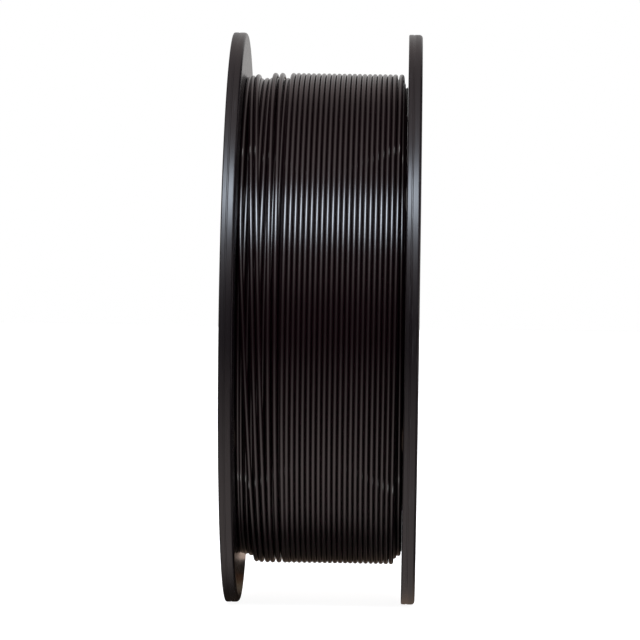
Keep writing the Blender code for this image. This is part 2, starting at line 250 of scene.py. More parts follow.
# A slant is how far a direction leans to either side: 0 is square to the axis, 1 along it. Each pair is
# where a light sets in and where it is full.
ROOM_SLANTS = (0.80, 0.38)
ROOM_REST = 0.06
BACK_TURNS = (math.radians(85), math.radians(130))
BACK_NARROWING = 0.6
SIDE_SLANTS = (0.93, 0.98)
SIDE_GLOW = 1.6
BACK_SIDE_SLANTS = (0.58, 0.78)
BACK_SIDE_TURNS = (math.radians(115), math.radians(145))
BACK_GLOW = 2.0
KEY_SLANTS = (0.52, 0.26)
KEY_HALF_HEIGHT = math.radians(9.5)
KEY_SOFTNESS = math.radians(8)

FLOOR_RINGS = (0.0, 0.2, 1.0, 4.0, 12.0, 40.0)
# Dark base colour of the cards seen only in reflections: the painted shade card, and the card under the
# painted table reflection.
PAINTED_CARD_BASE = (0.01, 0.008, 0.006, 1.0)
# The card of painted shade under the spool, seen only in reflections: its reach across, height, half length,
# the share of it that is fully dark, and how dark it is.
SHADE_CARD_REACH = (-36.0 * MM, 27.0 * MM)
SHADE_CARD_HEIGHT = 0.3 * MM
SHADE_CARD_HALF_LENGTH = 56.0 * MM
SHADE_CARD_FULL_SHARE = 0.4
PAINTED_SHADE_DENSITY = 0.88
# The glowing card with the painted reflection of the table, seen only in reflections: its reach across, how
# far behind the axis it stands, and its height.
REFLECTION_CARD_REACH = (-27.8 * MM, 27.0 * MM)
REFLECTION_CARD_BACK = 62.0 * MM
REFLECTION_CARD_TOP = 16.0 * MM
# Height in millimetres and colour of each strip's edge, painted as the table's reflection: brown near the
# spool, a black strip of painted shadow for the spool's shadow on the table, then beige.
PAINTED_REFLECTION_STRIPS = (
    (0.0, (0.150, 0.125, 0.095)), (2.4, (0.120, 0.080, 0.048)), (3.4, (0.060, 0.025, 0.010)),
    (5.6, (0.050, 0.018, 0.008)), (6.1, (0.0, 0.0, 0.0)), (10.1, (0.0, 0.0, 0.0)),
    (10.5, (0.08, 0.075, 0.075)), (11.0, (0.09, 0.085, 0.083)), (11.5, (0.80, 0.60, 0.50)),
    (16.0, (0.95, 0.74, 0.62)),
)
HOLE_GLOW = 1.3
HOLE_LIGHT_RADIUS = 1.4 * MM
HOLE_LIGHT_INSIDE = 1.1 * MM
HOLE_LIGHT_LEAN = 0.2
HOLE_LIGHT_SPREAD = math.radians(110)


# -------- settings

def setting(name, description, default, **more):
    """A property that holds a number."""
    return FloatProperty(name=name, description=description, default=default, **more)


def length(name, description, default):
    """A property that holds a length in metres."""
    return setting(name, description, default, unit="LENGTH", precision=5)


def colour(name, description, default):
    """A property that holds a colour."""
    return FloatVectorProperty(name=name, description=description, default=default, subtype="COLOR",
                               size=3, min=0.0, max=1.0)


def share(name, description, default):
    """A property that holds a share from 0 to 1."""
    return setting(name, description, default, min=0.0, max=1.0, subtype="FACTOR")


class SpoolSizes(bpy.types.PropertyGroup):
    """Sizes of the moulded pieces."""
    window_width: length("Window width", "Width of each window in a flange", 18.0 * MM)
    web_thickness: length("Web thickness", "Thickness of a flange between its ribs", 2.4 * MM)
    rim_rounding: length("Rim rounding", "Radius of each rim's right edge", 1.2 * MM)
    groove_depth: length("Groove depth", "Depth of the parting line round the rim", 0.11 * MM)
    edge_rounding: length("Edge rounding", "Radius of the small moulded edges", 0.2 * MM)


class WindingSizes(bpy.types.PropertyGroup):
    """Sizes of the wound filament."""
    filament_diameter: length("Filament diameter", "Thickness of the strand", 1.75 * MM)
    pitch: length("Turn pitch", "From one turn of the outer layer to the next", 1.785 * MM)
    wander: length("Wander", "How far a turn strays from its even place", 0.05 * MM)
    seed: IntProperty(name="Seed", description="Which wander the turns have", default=7)


class Finishes(bpy.types.PropertyGroup):
    """Colours and gloss of the finishes."""
    plastic_colour: colour("Spool plastic", "Colour of the flanges", (0.0022, 0.0011, 0.0020))
    hub_colour: colour("Hub plastic", "Colour of the hub barrel", (0.003, 0.003, 0.003))
    filament_colour: colour("Filament", "Colour of the filament", (0.0034, 0.0007, 0.0014))
    plastic_roughness: share("Spool roughness", "Gloss of the flanges", 0.265)
    filament_roughness: share("Filament roughness", "Gloss of the filament", 0.19)


class StageSettings(bpy.types.PropertyGroup):
    """Camera, light and floor."""
    camera_distance: length("Camera distance", "From the camera to the spool's middle", 1.479)
    camera_offset: length("Camera offset", "How far the camera stands to the right", 0.0278)
    focal_length: setting("Focal length", "Of the camera's lens, in millimetres", 236.4, min=1.0,
                          subtype="DISTANCE_CAMERA")
    key_strength: setting("Key light", "Brightness of the softbox in front", 15.4, min=0.0)
    key_elevation: setting("Key elevation", "Height of the softbox's middle", math.radians(49.4),
                           subtype="ANGLE")
    floor_glow: setting("Floor glow", "Light that the floor itself gives", 0.93, min=0.0)


class SpoolSettings(bpy.types.PropertyGroup):
    """Everything that a user can set."""
    sizes: PointerProperty(type=SpoolSizes)
    winding: PointerProperty(type=WindingSizes)
    finishes: PointerProperty(type=Finishes)
    stage: PointerProperty(type=StageSettings)


# -------- shapes

def place(x, radius, angle, across=0.0):
    """Points at x along the axis, a radius out on the ray at an angle, and as far across from that ray.

    y = across sin(angle) - radius cos(angle), z = axis height + radius sin(angle) + across cos(angle).
    """
    x, radius, angle, across = np.broadcast_arrays(x, radius, angle, across)
    return np.stack([x, -radius * np.cos(angle) + across * np.sin(angle),
                     axis_height + radius * np.sin(angle) + across * np.cos(angle)], axis=-1)


def smooth_step(way):
    """Rises from 0 to 1 with level ends: s squared times (3 - 2 s)."""
    clipped = np.clip(way, 0.0, 1.0)
    return clipped * clipped * (3.0 - 2.0 * clipped)


class Skin:
    """Collects grids of points and their faces, and turns them into one welded mesh."""

    def __init__(self):
        self.points = []
        self.corners = []
        self.uvs = []
        self.count = 0

    def grid(self, points, wrap_rows=False, wrap_columns=False, uv=None):
        """Adds the quads between neighbouring points of a grid. uv is (u of the rows, v of the columns)."""
        rows, columns = points.shape[:2]
        row = np.arange(rows if wrap_rows else rows - 1)[:, None, None] + [0, 0, 1, 1]
        column = np.arange(columns if wrap_columns else columns - 1)[None, :, None] + [0, 1, 1, 0]
        if uv is not None:
            u, v = uv
            self.uvs.append(np.stack(np.broadcast_arrays(u[row], v[column]), -1).reshape(-1, 4, 2))
        self.corners.append((row % rows * columns + column % columns).reshape(-1, 4) + self.count)
        self.points.append(points.reshape(-1, 3))
        self.count += rows * columns

    def mesh(self, name):
        """Welds points that fall on each other, drops corners that repeat, and points faces outwards."""
        points = np.concatenate(self.points)
        quads = np.concatenate(self.corners)
        cells = np.floor(points / WELD + WELD_SHIFT).astype(np.int64)
        _, first, back = np.unique(cells, axis=0, return_index=True, return_inverse=True)
        quads = back.reshape(-1)[quads]
        kept = quads != np.roll(quads, -1, axis=1)
        usable = kept.sum(axis=1) >= 3
        sizes = kept.sum(axis=1)[usable]
        kept &= usable[:, None]
        mesh = bpy.data.meshes.new(name)
        mesh.vertices.add(len(first))
        mesh.vertices.foreach_set("co", points[first].astype(np.float32).ravel())
        mesh.loops.add(int(sizes.sum()))
        mesh.loops.foreach_set("vertex_index", quads[kept].astype(np.int32))
        mesh.polygons.add(len(sizes))
        mesh.polygons.foreach_set("loop_start", (np.cumsum(sizes) - sizes).astype(np.int32))
        mesh.update(calc_edges=True)
        if self.uvs:
            layer = mesh.uv_layers.new(name="strand")
            layer.uv.foreach_set("vector", np.concatenate(self.uvs)[kept].astype(np.float32).ravel())
        shape = bmesh.new()
        shape.from_mesh(mesh)
        bmesh.ops.recalc_face_normals(shape, faces=shape.faces)
        shape.to_mesh(mesh)
        shape.free()
        return mesh


def add_object(name, data, material=None):
    """Puts a lamp, a camera or a mesh with its material in the scene, at the origin."""
    if material:
        data.materials.append(material)
    made = bpy.data.objects.new(name, data)
    bpy.context.scene.collection.objects.link(made)
    return made


def add_piece(name, mesh, material, replaced, sharp=MOULDED_SHARP):
    """Puts a finished mesh in the scene as a piece that rides on the root and replaces its solid."""
    mesh.shade_smooth()
    mesh.set_sharp_from_angle(angle=math.radians(sharp))
    piece = add_object(name, mesh, material)
    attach(piece, "root")
    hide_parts(*replaced)


def rounded(profile, radius, steps=3, support=0.06 * MM, closed=False):
    """A section whose corners are rounded.

    At each corner the two straight runs are cut back by the radius, or by just under half of the shorter
    run, and the cut is joined by a quadratic curve that leans on the corner. A support point on each run
    keeps the light even on the flat beyond. Runs that meet almost in line stay as they are.
    """
    points = [np.array(point, float) for point in profile]
    count = len(points)
    made = []
    for index, corner in enumerate(points):
        if not closed and index in (0, count - 1):
            made.append(corner)
            continue
        before = points[index - 1] - corner
        after = points[(index + 1) % count] - corner
        run_before, run_after = np.linalg.norm(before), np.linalg.norm(after)
        before, after = before / run_before, after / run_after
        if np.dot(before, after) < IN_LINE:
            made.append(corner)
            continue
        cut = min(radius, LONGEST_CUT * run_before, LONGEST_CUT * run_after)
        extra = min(support, LONGEST_SUPPORT * min(run_before, run_after))
        way = np.linspace(0.0, 1.0, steps + 1)[:, None]
        start, end = corner + before * cut, corner + after * cut
        made.append(start + before * extra)
        made.extend((1 - way) ** 2 * start + 2 * way * (1 - way) * corner + way ** 2 * end)
        made.append(end + after * extra)
    return np.array(made)


def turned(skin, profile, base, closed=False):
    """Adds a section of (radius, height above the base's x) points, turned in one-degree steps."""
    angles = np.radians(np.arange(360))
    points = place((base + profile[:, 1])[:, None], profile[:, 0][:, None], angles[None, :])
    skin.grid(points, wrap_rows=closed, wrap_columns=True)


def square_loop(across_steps, side_steps):
    """Points round the edge of a square from -1 to 1: along the bottom and up, then back and down."""
    across = np.linspace(-1.0, 1.0, across_steps + 1)[:-1]
    side = np.linspace(-1.0, 1.0, side_steps + 1)[:-1]
    half = np.concatenate([np.stack([across, -np.ones(across_steps)], -1),
                           np.stack([np.ones(side_steps), side], -1)])
    return np.concatenate([half, -half])


def hole_loop(square, centre_radius, centre_angle, half, corner, offset):
    """The square loop drawn onto a hole's edge, in the flange's plane.

    The loop is stretched to a rectangle of the half sizes, grown by the offset. Each point is pulled to
    the smaller rectangle that its round corners turn about, and pushed out from there by the corner
    radius. A corner as large as a half size makes a slot with round ends, or a circle.
    """
    grown = np.array(half) + offset
    radius = corner + offset
    inner = grown - radius
    wanted = square * grown
    nearest = np.clip(wanted, -inner, inner)
    away = wanted - nearest
    away /= np.maximum(np.linalg.norm(away, axis=-1, keepdims=True), 1e-12)
    local = nearest + away * radius
    outwards = np.array([math.cos(centre_angle), math.sin(centre_angle)])
    round_about = np.array([-math.sin(centre_angle), math.cos(centre_angle)])
    return (centre_radius + local[:, 1:]) * outwards + local[:, :1] * round_about


def sector_loop(square, inner, outer, centre_angle, half_angle):
    """The square loop drawn onto the edge of a sector between two radii, in the flange's plane."""
    angle = centre_angle + half_angle * square[:, 0]
    radius = inner + (outer - inner) * (square[:, 1] + 1.0) / 2.0
    return radius[:, None] * np.stack([np.cos(angle), np.sin(angle)], -1)


def holed_sector(skin, thickness, rounding, loop, hole, sector):
    """Adds both faces of a sector of the web and the wall of the hole in it.

    Rows of loops run from the sector's edge on the outer face to the hole, down its rounded wall and
    back out on the inner face. Between sector and hole a loop is the mean of the two.
    """
    edge = sector_loop(loop, *sector)
    mouth = hole_loop(loop, *hole, rounding + EDGE_MARGIN)
    flat = [edge, (edge + mouth) / 2, mouth]
    bends = np.linspace(0.0, math.pi / 2, 4)
    wall = [hole_loop(loop, *hole, rounding * (1 - math.sin(bend))) for bend in bends]
    depths = rounding * (1 - np.cos(bends))
    plane = np.stack(flat + wall + wall[::-1] + flat[::-1])
    heights = np.concatenate([[thickness] * 3, thickness - depths, depths[::-1], [0.0] * 3])
    x = channel_half + heights[:, None]
    skin.grid(place(x, plane[..., 0], 0.0, plane[..., 1]), wrap_columns=True)


def bar(skin, section, start, end, to_world):
    """Adds a closed bar: its section carried straight from start to end, drawn together at both ends.

    to_world takes how far along the bar a point lies and its two numbers in the section.
    """
    along = np.array([start, start, end, end])[:, None]
    size = np.array([0.0, 1.0, 1.0, 0.0])[:, None, None]
    middle = section.mean(axis=0)
    across = middle + (section - middle) * size
    skin.grid(to_world(along, across[..., 0], across[..., 1]), wrap_columns=True)


def oblong(inner, outer, low, high, radius):
    """A closed section: the rectangle between two radii and two places along the axis, rounded."""
    return rounded([(inner, low), (outer, low), (outer, high), (inner, high)], radius, closed=True)


def build_flange(name, side, sizes):
    """One flange: turned rim, boss and spigot, webs with windows, slots and end holes, and radial ribs.

    It is made as the right one, and the left one is then turned half round. Only their rims differ.
    """
    skin = Skin()
    web, fine = sizes.web_thickness, sizes.edge_rounding
    foot = BOSS_RADIUS + WALL_DRAFT
    ring_top = web + RING_RIB_HEIGHT
    boss = [(foot, 0.0), (BORE_RADIUS, 0.0), (BORE_RADIUS, rim_thickness - BOSS_CHAMFER),
            (BORE_RADIUS + BOSS_CHAMFER, rim_thickness), (BOSS_RADIUS, rim_thickness), (foot, web)]
    ring_rib = [(SPIGOT_INNER, web), (SPIGOT_INNER + WALL_DRAFT, ring_top),
                (SPIGOT_OUTER - WALL_DRAFT, ring_top), (SPIGOT_OUTER, web)]
    spigot = [(SPIGOT_OUTER, 0.0), (SPIGOT_OUTER, SPIGOT_CHAMFER - SPIGOT_LENGTH),
              (SPIGOT_OUTER - SPIGOT_CHAMFER, -SPIGOT_LENGTH), (SPIGOT_INNER, -SPIGOT_LENGTH),
              (SPIGOT_INNER, 0.0)]
    for section in (boss, ring_rib, spigot):
        turned(skin, rounded(section, fine), channel_half)
    turned(skin, rim_section(sizes, side), channel_half)

    sector_half = math.radians(SECTOR_HALF)
    for degrees in WINDOWS:
        centre = math.radians(degrees)
        window = ((WINDOW_INNER + WINDOW_OUTER) / 2, centre,
                  (sizes.window_width / 2, (WINDOW_OUTER - WINDOW_INNER) / 2), sizes.window_width / 2)
        holed_sector(skin, web, fine, square_loop(2 * SECTOR_HALF, WINDOW_STEPS), window,
                     (SPIGOT_OUTER, WINDOW_RING, centre, sector_half))
        slot = ((SLOT_INNER + SLOT_OUTER) / 2, centre,
                (SLOT_HALF, (SLOT_OUTER - SLOT_INNER) / 2), SLOT_CORNER)
        holed_sector(skin, web, SLOT_ROUNDING, square_loop(2 * SECTOR_HALF, SLOT_STEPS), slot,
                     (foot, SPIGOT_INNER, centre, sector_half))
    outer_ring = RIM_INNER - WALL_DRAFT
    for degrees in END_HOLES:
        centre = math.radians(degrees)
        hole = (HOLE_CIRCLE, centre, (HOLE_RADIUS, HOLE_RADIUS), HOLE_RADIUS)
        holed_sector(skin, web, fine, square_loop(2 * HOLE_SECTOR_HALF, HOLE_STEPS), hole,
                     (WINDOW_RING, outer_ring, centre, math.radians(HOLE_SECTOR_HALF)))
        plain = np.radians(np.arange(degrees + HOLE_SECTOR_HALF, degrees + 90 - HOLE_SECTOR_HALF + 1))
        radii = np.linspace(WINDOW_RING, outer_ring, HOLE_STEPS + 1)
        for height in (web, 0.0):
            skin.grid(place(channel_half + height, radii[:, None], plain[None, :]))

    wide, narrow = WEB_RIB_HALF + WEB_RIB_DRAFT, WEB_RIB_HALF - WEB_RIB_DRAFT
    sunk, crown = web - RIB_INTO_WEB, web + WEB_RIB_HEIGHT
    rib = rounded([(-wide, sunk), (wide, sunk), (narrow, crown), (-narrow, crown)], fine, closed=True)
    for degrees in RIBS:
        angle = math.radians(degrees)
        bar(skin, rib, BOSS_RADIUS - RIB_INTO_BOSS, RIM_INNER + RIB_INTO_RIM,
            lambda along, across, up: place(channel_half + up, along, angle, across))
    mesh = skin.mesh(name)
    if side < 0:
        mesh.transform(Matrix.Rotation(math.pi, 4, "Z"))
    return mesh


def rim_section(sizes, side):
    """The rim from the web's outer face round to its inner face: a rounded bead with a groove round it.

    Both rims have the wide rounding on their right edge and the small one on their left, as in the photo.
    """
    edge, top = flange_radius, rim_thickness
    outer, small = sizes.rim_rounding, RIM_SHARP_EDGE
    if side < 0:
        outer, small = small, outer
    back = rounded([(RIM_INNER - WALL_DRAFT, sizes.web_thickness), (RIM_INNER, top), (edge - outer, top)],
                   RIM_BACK_ROUNDING)
    bend = np.linspace(math.pi / 2, 0.0, 9)
    bead = np.stack([edge - outer + outer * np.cos(bend), top - outer + outer * np.sin(bend)], -1)
    middle, depth = GROOVE_SHARES[side] * top, sizes.groove_depth
    groove = rounded([(edge, top - outer - EDGE_MARGIN), (edge, middle + GROOVE_HALF),
                      (edge - depth, middle + GROOVE_FLOOR_HALF),
                      (edge - depth, middle - GROOVE_FLOOR_HALF),
                      (edge, middle - GROOVE_HALF), (edge, small + EDGE_MARGIN)],
                     GROOVE_ROUNDING, support=GROOVE_SUPPORT)
    bend = np.linspace(0.0, -math.pi / 2, 6)
    inner = np.stack([edge - small + small * np.cos(bend), small + small * np.sin(bend)], -1)
    face = np.array([(edge - small - 2 * EDGE_MARGIN, 0.0), (RIM_INNER - WALL_DRAFT, 0.0)])
    return np.concatenate([back[:-1], bead, groove, inner, face])


def build_hub(name):
    """The barrel: bore tube and drum turned about the axis, spokes between them and snap hooks."""
    skin = Skin()
    for inner, outer in ((BORE_RADIUS, TUBE_OUTER), (DRUM_INNER, DRUM_OUTER)):
        turned(skin, oblong(inner, outer, -HUB_HALF, HUB_HALF, HUB_ROUNDING), 0.0, closed=True)
    catch, tip = HOOK_CATCH_AT, HOOK_CATCH_AT + HOOK_HEAD
    arm = oblong(HOOK_INNER, HOOK_OUTER, HOOK_ROOT, catch + HOOK_OVERLAP, HOOK_ROUNDING)
    head = rounded([(HOOK_INNER, catch), (HOOK_OUTER + HOOK_CATCH, catch),
                    (HOOK_OUTER + HOOK_CATCH, catch + HOOK_HEAD / 3), (HOOK_INNER + HOOK_TIP, tip),
                    (HOOK_INNER, tip)], HOOK_ROUNDING, closed=True)
    spoke = oblong(TUBE_OUTER - SPOKE_SUNK, DRUM_INNER + SPOKE_SUNK, -SPOKE_HALF, SPOKE_HALF, HUB_ROUNDING)
    bars = [(spoke, SPOKE_HALF_THICKNESS)]
    bars += [(section * np.array([1.0, end]), HOOK_HALF_WIDTH)
             for end in (-1, 1) for section in (arm, head)]
    for degrees in WINDOWS:
        angle = math.radians(degrees)
        for section, half in bars:
            bar(skin, section, -half, half,
                lambda along, radius, x: place(x, radius, angle, along))
    return skin.mesh(name)


# -------- winding

def low_side_drop(x):
    """How far the winding lies lower near the left flange: the way past a line, squared, times a rate."""
    past = np.maximum(LOW_SIDE_START - x, 0.0)
    return LOW_SIDE_CURVE * past * past


def right_end_drop(x):
    """How far the lower layer sinks beside the right flange, where the outer turns leave it open."""
    return RIGHT_END_DROP * smooth_step((x - RIGHT_END_START) / RIGHT_END_WIDTH)


def between_flanges(x):
    """Keeps x off the flanges: past the limit it levels off along a soft bend."""
    x = -SIDE_LIMIT + SIDE_SOFTNESS * np.logaddexp(0.0, (x + SIDE_LIMIT) / SIDE_SOFTNESS)
    return SIDE_LIMIT - SIDE_SOFTNESS * np.logaddexp(0.0, (SIDE_LIMIT - x) / SIDE_SOFTNESS)


def wander(turn, angle, amount, rng):
    """A smooth stray: the mean of sines of a few waves a turn, whose phase drifts from turn to turn."""
    stray = np.zeros_like(turn)
    for waves in (1, 2, 3, 5):
        drift, phase = rng.uniform(0.06, 0.22), rng.uniform(0.0, math.tau)
        stray += np.sin(waves * angle + drift * math.tau * turn + phase) / waves
    return amount * stray / 2.0


def strand_line(winding):
    """The line that the strand follows, as x, radius and angle at even steps.

    The lower layer runs from the left flange to the right one at an even pitch, swinging a little where
    it is loose. It climbs onto itself at the back and returns as the outer layer: even turns at the
    pitch, then the loose turns, each a tilted ring x = middle - swing sin(angle + lead). The angle falls
    by a whole turn each time round, and the drop near the left flange lowers both layers alike.
    """
    rng = np.random.default_rng(winding.seed)
    end_turn = REGULAR_TURNS + len(LOOSE_TURNS) + (math.tau - (TAIL_HOLE_ANGLE + TAIL_RISE)) / math.tau
    first_part = LOWER_START_ANGLE / math.tau
    total = end_turn + first_part + LOWER_TURNS
    turn = np.linspace(0.0, total, int(total * STEPS_PER_TURN))
    angle = LOWER_START_ANGLE - math.tau * turn
    upper_turn = turn - first_part - LOWER_TURNS

    lower_x = LOWER_FIRST_X + LOWER_PITCH * turn
    loose = smooth_step((LOOSE_BELOW_X - lower_x) / LOOSE_OVER)
    lower_x = lower_x + LOWER_TILT * loose * np.sin(angle - LOOSE_LEAD)

    # From one loose turn to the next, middle, swing and lead change along a smooth step.
    middles, swings, leads = np.array(LOOSE_TURNS).T
    middles = np.concatenate([[UPPER_FIRST_X - winding.pitch * REGULAR_TURNS], middles * MM])
    swings = np.concatenate([[0.0], swings * MM])
    leads = np.radians(np.concatenate([leads[:1], leads]))
    index = np.clip(np.floor(upper_turn - REGULAR_TURNS).astype(int), 0, len(LOOSE_TURNS) - 1)
    way = smooth_step((upper_turn - REGULAR_TURNS - index - CHANGE_START) / CHANGE_LENGTH)
    middle, swing, lead = (row[index] + (row[index + 1] - row[index]) * way
                           for row in (middles, swings, leads))
    first_spread = UPPER_FIRST_SPREAD * np.minimum(upper_turn, 0.0) ** 2
    even = UPPER_FIRST_X - winding.pitch * upper_turn + first_spread
    upper_x = np.where(upper_turn < REGULAR_TURNS, even, middle - swing * np.sin(angle + lead))

    x = np.where(upper_turn < CLIMB_TURN, lower_x, upper_x)
    climb = smooth_step((upper_turn - CLIMB_TURN) / CLIMB_LENGTH + 0.5)
    radius = LOWER_STRAND_CIRCLE + (UPPER_STRAND_CIRCLE - LOWER_STRAND_CIRCLE) * climb
    x = between_flanges(x) + wander(turn, angle, winding.wander, rng)
    radius = radius - low_side_drop(x) + wander(turn, angle, 0.4 * winding.wander, rng)
    radius = radius - right_end_drop(x) * (1.0 - climb)
    return np.clip(x, -SIDE_STOP, SIDE_STOP), radius, angle


def tail_points(x, radius):
    """The free end, as points: it rises and moves in from the flange, bends over and enters its hole."""
    hole_x = -channel_half + FIT_CLEARANCE
    bend_x = hole_x + TAIL_BEND
    end_angle = TAIL_HOLE_ANGLE + TAIL_BEND / HOLE_CIRCLE
    way = np.linspace(0.0, 1.0, 24)[1:]
    rise = smooth_step(way)
    shift = smooth_step((way - TAIL_SHIFT_DELAY) / (1.0 - TAIL_SHIFT_DELAY))
    angle = TAIL_HOLE_ANGLE + TAIL_RISE + (end_angle - TAIL_HOLE_ANGLE - TAIL_RISE) * way
    climb = place(x + (bend_x - x) * shift, radius + (HOLE_CIRCLE - radius) * rise, angle)
    bend = np.linspace(0.0, math.pi / 2, 9)[1:]
    forward = TAIL_BEND * (np.sin(bend) - 1.0)
    over = place(bend_x - TAIL_BEND * (1.0 - np.cos(bend)), HOLE_CIRCLE, TAIL_HOLE_ANGLE)
    over += forward[:, None] * np.array([0.0, -math.sin(TAIL_HOLE_ANGLE), -math.cos(TAIL_HOLE_ANGLE)])
    through = place(np.linspace(hole_x, TAIL_TIP_X, 5)[1:], HOLE_CIRCLE, TAIL_HOLE_ANGLE)
    return np.concatenate([climb, over, through])


def build_strand(name, winding):
    """The strand as a tube: circles of the strand's radius, square to its line, with cut ends.

    At each point the circle is spanned by the way out from the axis, squared up to the line, and by
    what is square to both.
    """
    x, radius, angle = strand_line(winding)
    line = np.concatenate([place(x, radius, angle), tail_points(x[-1], radius[-1])])
    strand_radius = winding.filament_diameter / 2
    ahead = np.gradient(line, axis=0)
    ahead /= np.linalg.norm(ahead, axis=1, keepdims=True)
    first, last = line[:1], line[-1:]
    line = np.concatenate([first, first, first + ahead[:1] * STRAND_CHAMFER, line[1:-1],
                           last - ahead[-1:] * STRAND_CHAMFER, last, last])
    ahead = np.concatenate([ahead[:1], ahead[:1], ahead, ahead[-1:], ahead[-1:]])
    thickness = np.full(len(line), strand_radius)
    thickness[[0, -1]] = 0.0
    thickness[[1, -2]] = strand_radius - STRAND_CHAMFER
    out = line * np.array([0.0, 1.0, 1.0]) - np.array([0.0, 0.0, axis_height])
    out -= (out * ahead).sum(axis=1, keepdims=True) * ahead
    out /= np.linalg.norm(out, axis=1, keepdims=True)
    side = np.cross(ahead, out)
    turn = np.linspace(0.0, math.tau, STRAND_SIDES + 1)[:-1][None, :, None]
    ring = np.cos(turn) * out[:, None, :] + np.sin(turn) * side[:, None, :]
    points = line[:, None, :] + thickness[:, None, None] * ring
    travelled = np.concatenate([[0.0], np.cumsum(np.linalg.norm(np.diff(line, axis=0), axis=1))])
    skin = Skin()
    skin.grid(points, wrap_columns=True, uv=(travelled, np.linspace(0.0, 1.0, STRAND_SIDES + 1)))
    return skin.mesh(name)


def build_layers(name, winding):
    """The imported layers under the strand, as one turned body with every layer's turns standing out.

    Its top follows the strand below: half circles side by side, turned along the winding's slope. Its
    sides are the last turns of the layers, ring above ring: at each radius the outermost of the rings'
    circles, where every other ring lies half a turn further in and each strays a little round the spool.
    """
    rng = np.random.default_rng(winding.seed + 1)
    strand_radius = winding.filament_diameter / 2
    angle = np.radians(np.arange(RING_COLUMNS) * (360 / RING_COLUMNS))
    top = LOWER_STRAND_CIRCLE - strand_radius
    drum = DRUM_OUTER + DRUM_GAP
    first = drum + strand_radius
    layers = int((top - strand_radius - first) / LAYER_STEP) + 1
    ring_radius = first + LAYER_STEP * np.arange(layers)
    radii = np.linspace(drum, ring_radius[-1] + TOP_RING_SHARE * strand_radius, RING_POINTS * layers)
    sides = []
    for end in (-1, 1):
        depth = np.where((np.arange(layers) + (end > 0)) % 2 == 0, 0.0, RING_SETBACK)[:, None]
        stray = np.abs([wander(0.0 * angle, angle, rng.uniform(*RING_STRAY) * MM, rng)
                        for _ in range(layers)])
        centre = channel_half - SIDE_GAP - strand_radius - depth - stray * (LEAST_STRAY + depth / MM)
        reach = np.maximum(strand_radius ** 2 - (radii[:, None] - ring_radius[None, :]) ** 2, 0.0)
        height = np.where(reach[:, :, None] > 0.0, centre[None] + np.sqrt(reach)[:, :, None], 0.0)
        outermost = height.max(axis=1)
        x = end * np.where(outermost > 0.0, outermost, centre.min(axis=0) - BETWEEN_RINGS)
        sides.append(place(x, radii[:, None], angle[None, :]))
    turns = int(2 * SIDE_LIMIT / winding.pitch)
    ends = channel_half - COVER_INSET
    x = np.linspace(-1.0, 1.0, 6 * turns + 1)[1:-1, None] * ends
    wave = x / winding.pitch + angle[None, :] / math.tau
    bump = np.sqrt(1.0 - (2.0 * (wave % 1.0) - 1.0) ** 2 * COVER_ROUNDNESS)
    crest = top - COVER_DEPTH * strand_radius * (1.0 - bump)
    crest = crest - low_side_drop(x) - right_end_drop(x) - COVER_SUNK
    crest = crest - SHOULDER_DROP * (1.0 - smooth_step((ends - np.abs(x)) / SHOULDER_WIDTH))
    cover = place(x, crest, angle[None, :])
    skin = Skin()
    skin.grid(np.concatenate([sides[0], cover, sides[1][::-1]]), wrap_rows=True, wrap_columns=True)
    return skin.mesh(name)


# -------- materials

def arithmetic(operation, reflected=False):
    """A method for Number: one of Python's operators as a Math node."""
    def method(self, other):
        values = (other, self) if reflected else (self, other)
        return self.graph.maths(operation, *values)
    return method


class Number:
    """A socket that carries a number, so that expressions on it add Math nodes."""

    def __init__(self, graph, socket):
        self.graph = graph
        self.socket = socket

    __add__ = __radd__ = arithmetic("ADD")
    __mul__ = __rmul__ = arithmetic("MULTIPLY")
    __sub__ = arithmetic("SUBTRACT")
    __rsub__ = arithmetic("SUBTRACT", reflected=True)
    __truediv__ = arithmetic("DIVIDE")
    __rtruediv__ = arithmetic("DIVIDE", reflected=True)


